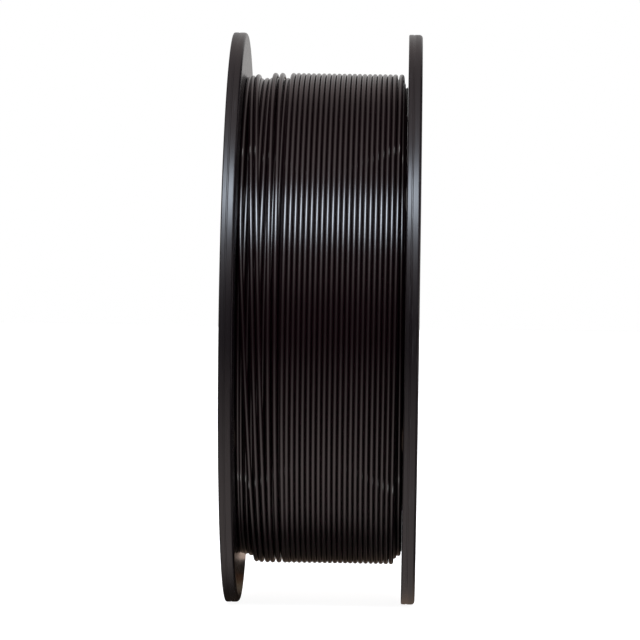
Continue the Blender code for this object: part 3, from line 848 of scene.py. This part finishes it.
class Graph:
    """A node tree that nodes are added to."""

    def __init__(self, tree):
        self.tree = tree

    def node(self, kind, settings=None, inputs=(), **values):
        """Adds a node: its settings first, then its sockets, first in their order, then by name."""
        made = self.tree.nodes.new(kind)
        for name, value in (settings or {}).items():
            if name == "stops":
                elements = made.color_ramp.elements
                for element, (position, shade) in zip(elements, value):
                    element.position, element.color = position, shade
                for position, shade in value[2:]:
                    elements.new(position).color = shade
            else:
                setattr(made, name, value)
        for socket, value in zip(made.inputs, inputs):
            self.feed(socket, value)
        return self.fill(made, **values)

    def fill(self, node, **values):
        """Sets or links a node's sockets by name, with an underscore for a space."""
        for name, value in values.items():
            self.feed(node.inputs[name.replace("_", " ")], value)
        return node

    def feed(self, socket, value):
        """Sets a socket to a plain value, or links a number, a socket or a node's first output to it."""
        if isinstance(value, Number):
            value = value.socket
        elif isinstance(value, bpy.types.Node):
            value = value.outputs[0]
        if isinstance(value, bpy.types.NodeSocket):
            self.tree.links.new(value, socket)
        else:
            socket.default_value = value

    def maths(self, operation, *values):
        """A number that a Math node works out of others."""
        return Number(self, self.node("ShaderNodeMath", {"operation": operation}, values).outputs[0])

    def split(self, vector):
        """The three numbers of a vector."""
        made = self.node("ShaderNodeSeparateXYZ", Vector=vector)
        return [Number(self, socket) for socket in made.outputs]

    def mix_colour(self, factor, first, second):
        """Blends two colours by a factor."""
        made = self.node("ShaderNodeMix", {"data_type": "RGBA"})
        for index, value in ((0, factor), (6, first), (7, second)):
            self.feed(made.inputs[index], value)
        return made.outputs[2]

    def ramp(self, value, low, high):
        """A number that goes smoothly from 0 at low to 1 at high."""
        made = self.node("ShaderNodeMapRange", {"interpolation_type": "SMOOTHSTEP"},
                         Value=value, From_Min=low, From_Max=high)
        return Number(self, made.outputs[0])

    def noise(self, vector, scale, detail=2.0, roughness=0.5):
        """Noise from 0 to 1 over a vector."""
        made = self.node("ShaderNodeTexNoise", Vector=vector, Scale=scale, Detail=detail,
                         Roughness=roughness)
        return Number(self, made.outputs["Fac"])

    def vector(self, *numbers):
        """A vector of three numbers."""
        return self.node("ShaderNodeCombineXYZ", None, numbers)


def opaque(colour_value, level=1.0):
    """A colour with its alpha, darkened or lightened to a level."""
    return (*(channel * level for channel in colour_value), 1.0)


def new_material(name):
    """A material with a bare Principled shader, the graph that holds it, and its Object coordinates."""
    material = bpy.data.materials.new(name)
    material.use_nodes = True
    graph = Graph(material.node_tree)
    point = graph.node("ShaderNodeTexCoord").outputs["Object"]
    return material, graph, material.node_tree.nodes["Principled BSDF"], point


def round_coordinates(graph, point):
    """Object coordinates as x, the radius from the axis and the angle round it."""
    x, y, z = graph.split(point)
    up = z - axis_height
    return x, graph.maths("SQRT", y * y + up * up), graph.maths("ARCTAN2", up, y)


def plastic_material(name, colour_value, roughness, rim_wear):
    """Glossy moulded plastic: faint moulding texture, turning marks and hairline scratches.

    Marks and scratches are noise that is fine across the section and drawn out round the axis. The rim
    is a little rougher where it has rubbed on shelves and holders.
    """
    material, graph, shader, point = new_material(name)
    x, radius, angle = round_coordinates(graph, point)
    broad = graph.noise(point, 14.0, 3.0)
    grain = graph.noise(point, 2600.0, 1.0)
    marks = graph.noise(graph.vector(angle * 1.6, radius * 900.0, x * 900.0), 1.0, 3.0, 0.6)
    hairlines = graph.noise(graph.vector(angle * 7.0, radius * 2600.0, x * 2600.0), 1.0, 1.0)
    scratch = graph.ramp(hairlines, 0.64, 0.72) * graph.ramp(broad, 0.42, 0.6)
    worn = graph.ramp(radius, *WORN_RADII) * graph.ramp(graph.maths("ABSOLUTE", x), *WORN_SIDES)
    pale = opaque([0.02 + channel for channel in colour_value])
    shade = graph.mix_colour(scratch * 0.5, opaque(colour_value), pale)
    rough = roughness + (marks - 0.5) * 0.05 + (broad - 0.5) * 0.05 + scratch * 0.12
    rough = rough + worn * rim_wear * 0.05
    height = grain * 0.003 + marks * 0.006 - scratch * 0.008 + broad * 0.05
    bump = graph.node("ShaderNodeBump", Strength=0.35, Distance=0.4 * MM, Height=height)
    graph.fill(shader, Base_Color=shade, Roughness=rough, Normal=bump, IOR=1.47)
    return material


def filament_material(name, finishes, along_strand):
    """Extruded filament: glossy, with faint lines along the strand, slow changes of gloss and dull spots.

    The lines are noise drawn out along the strand, by its UV map, or round the axis on packed layers.
    """
    material, graph, shader, point = new_material(name)
    if along_strand:
        run, turn, _ = graph.split(graph.node("ShaderNodeUVMap", {"uv_map": "strand"}))
        lines = graph.noise(graph.vector(run * 9.0, turn * 22.0, 0.0), 1.0, 2.0)
        slow = graph.noise(graph.vector(run * 14.0, 3.0, 0.0), 1.0, 2.0)
    else:
        x, radius, angle = round_coordinates(graph, point)
        lines = graph.noise(graph.vector(angle * 2.0, radius * 3000.0, x * 3000.0), 1.0, 2.0)
        slow = graph.noise(graph.vector(angle * 3.0, radius * 500.0, x * 500.0), 1.0, 2.0)
    rough = finishes.filament_roughness + (lines - 0.5) * 0.08 + (slow - 0.5) * 0.14
    dark, pale = (opaque(finishes.filament_colour, level) for level in (0.8, 1.3))
    bump = graph.node("ShaderNodeBump", Strength=0.25, Distance=0.1 * MM, Height=lines * 0.1)
    graph.fill(shader, Base_Color=graph.mix_colour(slow, dark, pale), Roughness=rough, Normal=bump, IOR=1.6)
    return material


def floor_material(glow):
    """A white sheet that gives a little light of its own, like a light table."""
    material, graph, shader, point = new_material("white_floor")
    cloud = graph.noise(point, 3.0, 2.0)
    shade = graph.mix_colour(cloud, (0.48, 0.48, 0.48, 1.0), (0.52, 0.52, 0.52, 1.0))
    graph.fill(shader, Base_Color=shade, Roughness=0.7 + cloud * 0.1, Specular_IOR_Level=0.1,
               Emission_Color=(1.0, 1.0, 1.0, 1.0), Emission_Strength=glow)
    return material


# -------- stage

def build_world(stage):
    """Plain white to the camera. To the spool it is a studio, by a direction's turn and slant.

    The room's light goes by turn. It fades as the slant grows, sooner behind the spool, down to a rest,
    and comes back close to the axis and on both sides of the back, where it lights the flanges' faces.
    The key light is a wide softbox high in front: a band of turns with soft edges.
    """
    world = bpy.data.worlds.new("studio")
    world.use_nodes = True
    bpy.context.scene.world = world
    graph = Graph(world.node_tree)
    graph.tree.nodes.clear()
    x, y, z = graph.split(graph.node("ShaderNodeTexCoord").outputs["Generated"])
    turn = graph.maths("ARCTAN2", z, 0.0 - y)
    behind = graph.maths("ABSOLUTE", turn)
    slant = graph.maths("ABSOLUTE", x)
    stops = [((degrees + 180) / 360, opaque(tint, level)) for degrees, level, tint in ROOM_LIGHT]
    room = graph.node("ShaderNodeValToRGB", {"stops": stops}, Fac=turn / math.tau + 0.5)
    spread = slant * (graph.ramp(behind, *BACK_TURNS) * BACK_NARROWING + 1.0)
    back_sides = graph.ramp(slant, *BACK_SIDE_SLANTS) * graph.ramp(behind, *BACK_SIDE_TURNS)
    room_level = graph.ramp(spread, *ROOM_SLANTS) * (1.0 - ROOM_REST) + ROOM_REST
    room_level = room_level + graph.ramp(slant, *SIDE_SLANTS) * SIDE_GLOW + back_sides * BACK_GLOW
    low, high = stage.key_elevation - KEY_HALF_HEIGHT, stage.key_elevation + KEY_HALF_HEIGHT
    key = (graph.ramp(turn, low - KEY_SOFTNESS, low + KEY_SOFTNESS)
           * graph.ramp(turn, high + KEY_SOFTNESS, high - KEY_SOFTNESS)
           * graph.ramp(slant, *KEY_SLANTS) * stage.key_strength)
    dim = graph.node("ShaderNodeBackground", Color=room, Strength=room_level)
    bright = graph.node("ShaderNodeBackground", Color=opaque(COOL), Strength=key)
    studio = graph.node("ShaderNodeAddShader", None, (dim, bright))
    white = graph.node("ShaderNodeBackground", Color=(1.0, 1.0, 1.0, 1.0), Strength=1.0)
    seen = graph.node("ShaderNodeLightPath").outputs["Is Camera Ray"]
    graph.node("ShaderNodeOutputWorld",
               Surface=graph.node("ShaderNodeMixShader", None, (seen, studio, white)))


def build_floor(stage):
    """A large round sheet at the height on which the rims stand: a grid of rings out to its edge."""
    radius = np.array(FLOOR_RINGS)[:, None]
    angle = np.radians(np.arange(0, 360, 10))[None, :]
    skin = Skin()
    points = np.broadcast_arrays(radius * np.cos(angle), radius * np.sin(angle), 0.0 * radius)
    skin.grid(np.stack(points, -1), wrap_columns=True)
    floor = add_object("floor", skin.mesh("floor"), floor_material(stage.floor_glow))
    floor.visible_glossy = False


def reflected_card(name, x, y, z):
    """Adds a dark card that is seen in reflections alone, to carry painted shade or a painted reflection.
    Gives its graph, shader, and the y and z on it.
    """
    material, graph, shader, point = new_material(name)
    graph.fill(shader, Base_Color=PAINTED_CARD_BASE, Specular_IOR_Level=0.0)
    skin = Skin()
    skin.grid(np.stack(np.broadcast_arrays(x, y, z), -1))
    card = add_object(name, skin.mesh(name), material)
    for ray in ("visible_camera", "visible_diffuse", "visible_shadow", "visible_transmission"):
        setattr(card, ray, False)
    _, along, up = graph.split(point)
    return graph, shader, along, up


def build_painted_shade_card():
    """A dark card under the spool, seen in reflections alone: painted shade that stands for the shadow on
    the floor between the flanges.

    It is clear at its near and far edges, so the painted shade under the winding sets in softly.
    """
    across = np.linspace(*SHADE_CARD_REACH, 5)[:, None]
    along = np.linspace(-SHADE_CARD_HALF_LENGTH, SHADE_CARD_HALF_LENGTH, 9)[None, :]
    graph, shader, on_card, _ = reflected_card("painted_shade_card", across, along, SHADE_CARD_HEIGHT)
    away = graph.maths("ABSOLUTE", on_card)
    # The card's alpha is how dark the painted shade is, fading out towards its near and far edges.
    dense = graph.ramp(away, SHADE_CARD_HALF_LENGTH, SHADE_CARD_FULL_SHARE * SHADE_CARD_HALF_LENGTH) * PAINTED_SHADE_DENSITY
    graph.fill(shader, Alpha=dense)


def build_painted_reflection_card():
    """A small upright card behind the winding's foot that glows with a painted reflection: the strips of
    table that the left flange mirrors.

    Its colour goes by height, from the brown of the table's near part up over a dark strip of painted
    shadow, the spool's shadow on the table, to beige.
    """
    across = np.linspace(*REFLECTION_CARD_REACH, 5)[:, None]
    up = np.linspace(0.0, REFLECTION_CARD_TOP, 5)[None, :]
    graph, shader, _, height = reflected_card("painted_reflection_card", across, REFLECTION_CARD_BACK, up)
    stops = [(level * MM / REFLECTION_CARD_TOP, opaque(shade)) for level, shade in PAINTED_REFLECTION_STRIPS]
    strips = graph.node("ShaderNodeValToRGB", {"stops": stops}, Fac=height / REFLECTION_CARD_TOP)
    # The card glows with the painted reflection, though it is no lamp.
    graph.fill(shader, Emission_Color=strips, Emission_Strength=1.0)


def build_hole_lights():
    """The room's light that comes in through the end holes and glints on the turns beside the flanges.

    Each is a small disc at its hole, inside the flange, turned in and to the height of the axis. The hole
    with the free end in it is dark.
    """
    for name, side in (("left", -1), ("right", 1)):
        for degrees in END_HOLES:
            angle = math.radians(degrees)
            if side < 0 and angle == TAIL_HOLE_ANGLE:
                continue
            lamp = bpy.data.lights.new(f"hole_light_{name}_{degrees}", "AREA")
            lamp.shape = "DISK"
            lamp.size = 2 * HOLE_LIGHT_RADIUS
            lamp.spread = HOLE_LIGHT_SPREAD
            lamp.energy = HOLE_GLOW * math.pi * math.pi * HOLE_LIGHT_RADIUS ** 2
            light = add_object(lamp.name, lamp)
            light.location = place(side * (channel_half - HOLE_LIGHT_INSIDE), HOLE_CIRCLE, angle)
            aim = Vector((-HOLE_LIGHT_LEAN * side, 0.0, -math.copysign(1.0, math.sin(angle))))
            light.rotation_euler = aim.to_track_quat("-Z", "Y").to_euler()
            light.visible_camera = False


def build_camera(stage):
    """The camera at the height of the axis, a little to the right, leaning slightly as the picture does."""
    middle = Vector((0.0, 0.0, axis_height))
    eye = Vector((stage.camera_offset, -stage.camera_distance, axis_height))
    ahead = Matrix.Rotation(CAMERA_YAW, 3, "Z") @ (middle - eye).normalized()
    ahead = (ahead - Vector((0.0, 0.0, CAMERA_PITCH))).normalized()
    right = ahead.cross(Vector((0.0, 0.0, 1.0))).normalized()
    up = right.cross(ahead)
    leaning_right = right * math.cos(CAMERA_ROLL) + up * math.sin(CAMERA_ROLL)
    leaning_up = up * math.cos(CAMERA_ROLL) - right * math.sin(CAMERA_ROLL)
    lens = bpy.data.cameras.new("camera")
    lens.lens = stage.focal_length
    lens.sensor_width = 36.0
    lens.clip_end = 100.0
    camera = add_object("camera", lens)
    turn = Matrix((leaning_right, leaning_up, -ahead)).transposed()
    camera.matrix_world = Matrix.Translation(eye) @ turn.to_4x4()
    bpy.context.scene.camera = camera


# -------- operators

class SPOOL_OT_flanges(bpy.types.Operator):
    """Make the two flanges"""
    bl_idname = "spool.flanges"
    bl_label = "Flanges"

    def execute(self, context):
        settings = context.scene.filament_spool
        finishes = settings.finishes
        plastic = plastic_material("spool_plastic", finishes.plastic_colour, finishes.plastic_roughness, 1.0)
        for name, node, side in (("flange_left", "left_flange", -1), ("flange_right", "right_flange", 1)):
            mesh = build_flange(name, side, settings.sizes)
            add_piece(name, mesh, plastic, [node])
        return {"FINISHED"}


class SPOOL_OT_hub(bpy.types.Operator):
    """Make the hub barrel with its snap hooks"""
    bl_idname = "spool.hub"
    bl_label = "Hub barrel"

    def execute(self, context):
        finishes = context.scene.filament_spool.finishes
        plastic = plastic_material("hub_plastic", finishes.hub_colour, HUB_ROUGHNESS, 0.0)
        add_piece("hub_with_hooks", build_hub("hub_with_hooks"), plastic, ["hub_barrel"])
        return {"FINISHED"}


class SPOOL_OT_layers(bpy.types.Operator):
    """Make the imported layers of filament"""
    bl_idname = "spool.layers"
    bl_label = "Packed layers"

    def execute(self, context):
        settings = context.scene.filament_spool
        finish = filament_material("filament_layers", settings.finishes, False)
        mesh = build_layers("packed_layers", settings.winding)
        add_piece("packed_layers", mesh, finish, ["filament_core"], WOUND_SHARP)
        return {"FINISHED"}


class SPOOL_OT_strand(bpy.types.Operator):
    """Make the strand of the two outer layers, with its free end"""
    bl_idname = "spool.strand"
    bl_label = "Outer strand"

    def execute(self, context):
        settings = context.scene.filament_spool
        finish = filament_material("filament_strand", settings.finishes, True)
        mesh = build_strand("outer_strand", settings.winding)
        add_piece("outer_strand", mesh, finish, ["filament_outer_turns"], WOUND_SHARP)
        return {"FINISHED"}


class SPOOL_OT_stage(bpy.types.Operator):
    """Set up the floor, the light and the camera"""
    bl_idname = "spool.stage"
    bl_label = "Stage"

    def execute(self, context):
        stage = context.scene.filament_spool.stage
        context.scene.view_settings.view_transform = "Standard"
        build_world(stage)
        build_floor(stage)
        # Cards seen only in reflections: painted shade under the spool, and a painted reflection of the
        # table with the spool's shadow.
        build_painted_shade_card()
        build_painted_reflection_card()
        build_hole_lights()
        build_camera(stage)
        return {"FINISHED"}


class SPOOL_PT_panel(bpy.types.Panel):
    """Lists the spool's operators and settings"""
    bl_idname = "SPOOL_PT_panel"
    bl_label = "Filament Spool"
    bl_space_type = "VIEW_3D"
    bl_region_type = "UI"
    bl_category = "Spool"

    def draw(self, context):
        settings = context.scene.filament_spool
        for operator in OPERATORS:
            self.layout.operator(operator.bl_idname)
        for group in (settings.sizes, settings.winding, settings.finishes, settings.stage):
            box = self.layout.box()
            for name in group.__annotations__:
                box.prop(group, name)


OPERATORS = (SPOOL_OT_stage, SPOOL_OT_flanges, SPOOL_OT_hub, SPOOL_OT_layers, SPOOL_OT_strand)
CLASSES = (SpoolSizes, WindingSizes, Finishes, StageSettings, SpoolSettings, *OPERATORS, SPOOL_PT_panel)


def register():
    """Registers the classes and hangs the settings on the scene."""
    for each in CLASSES:
        bpy.utils.register_class(each)
    bpy.types.Scene.filament_spool = PointerProperty(type=SpoolSettings)


def unregister():
    """Takes back what register did."""
    del bpy.types.Scene.filament_spool
    for each in reversed(CLASSES):
        bpy.utils.unregister_class(each)


def main():
    register()
    bpy.ops.spool.stage()
    bpy.ops.spool.flanges()
    bpy.ops.spool.hub()
    bpy.ops.spool.layers()
    bpy.ops.spool.strand()


if __name__ == "__main__":
    main()
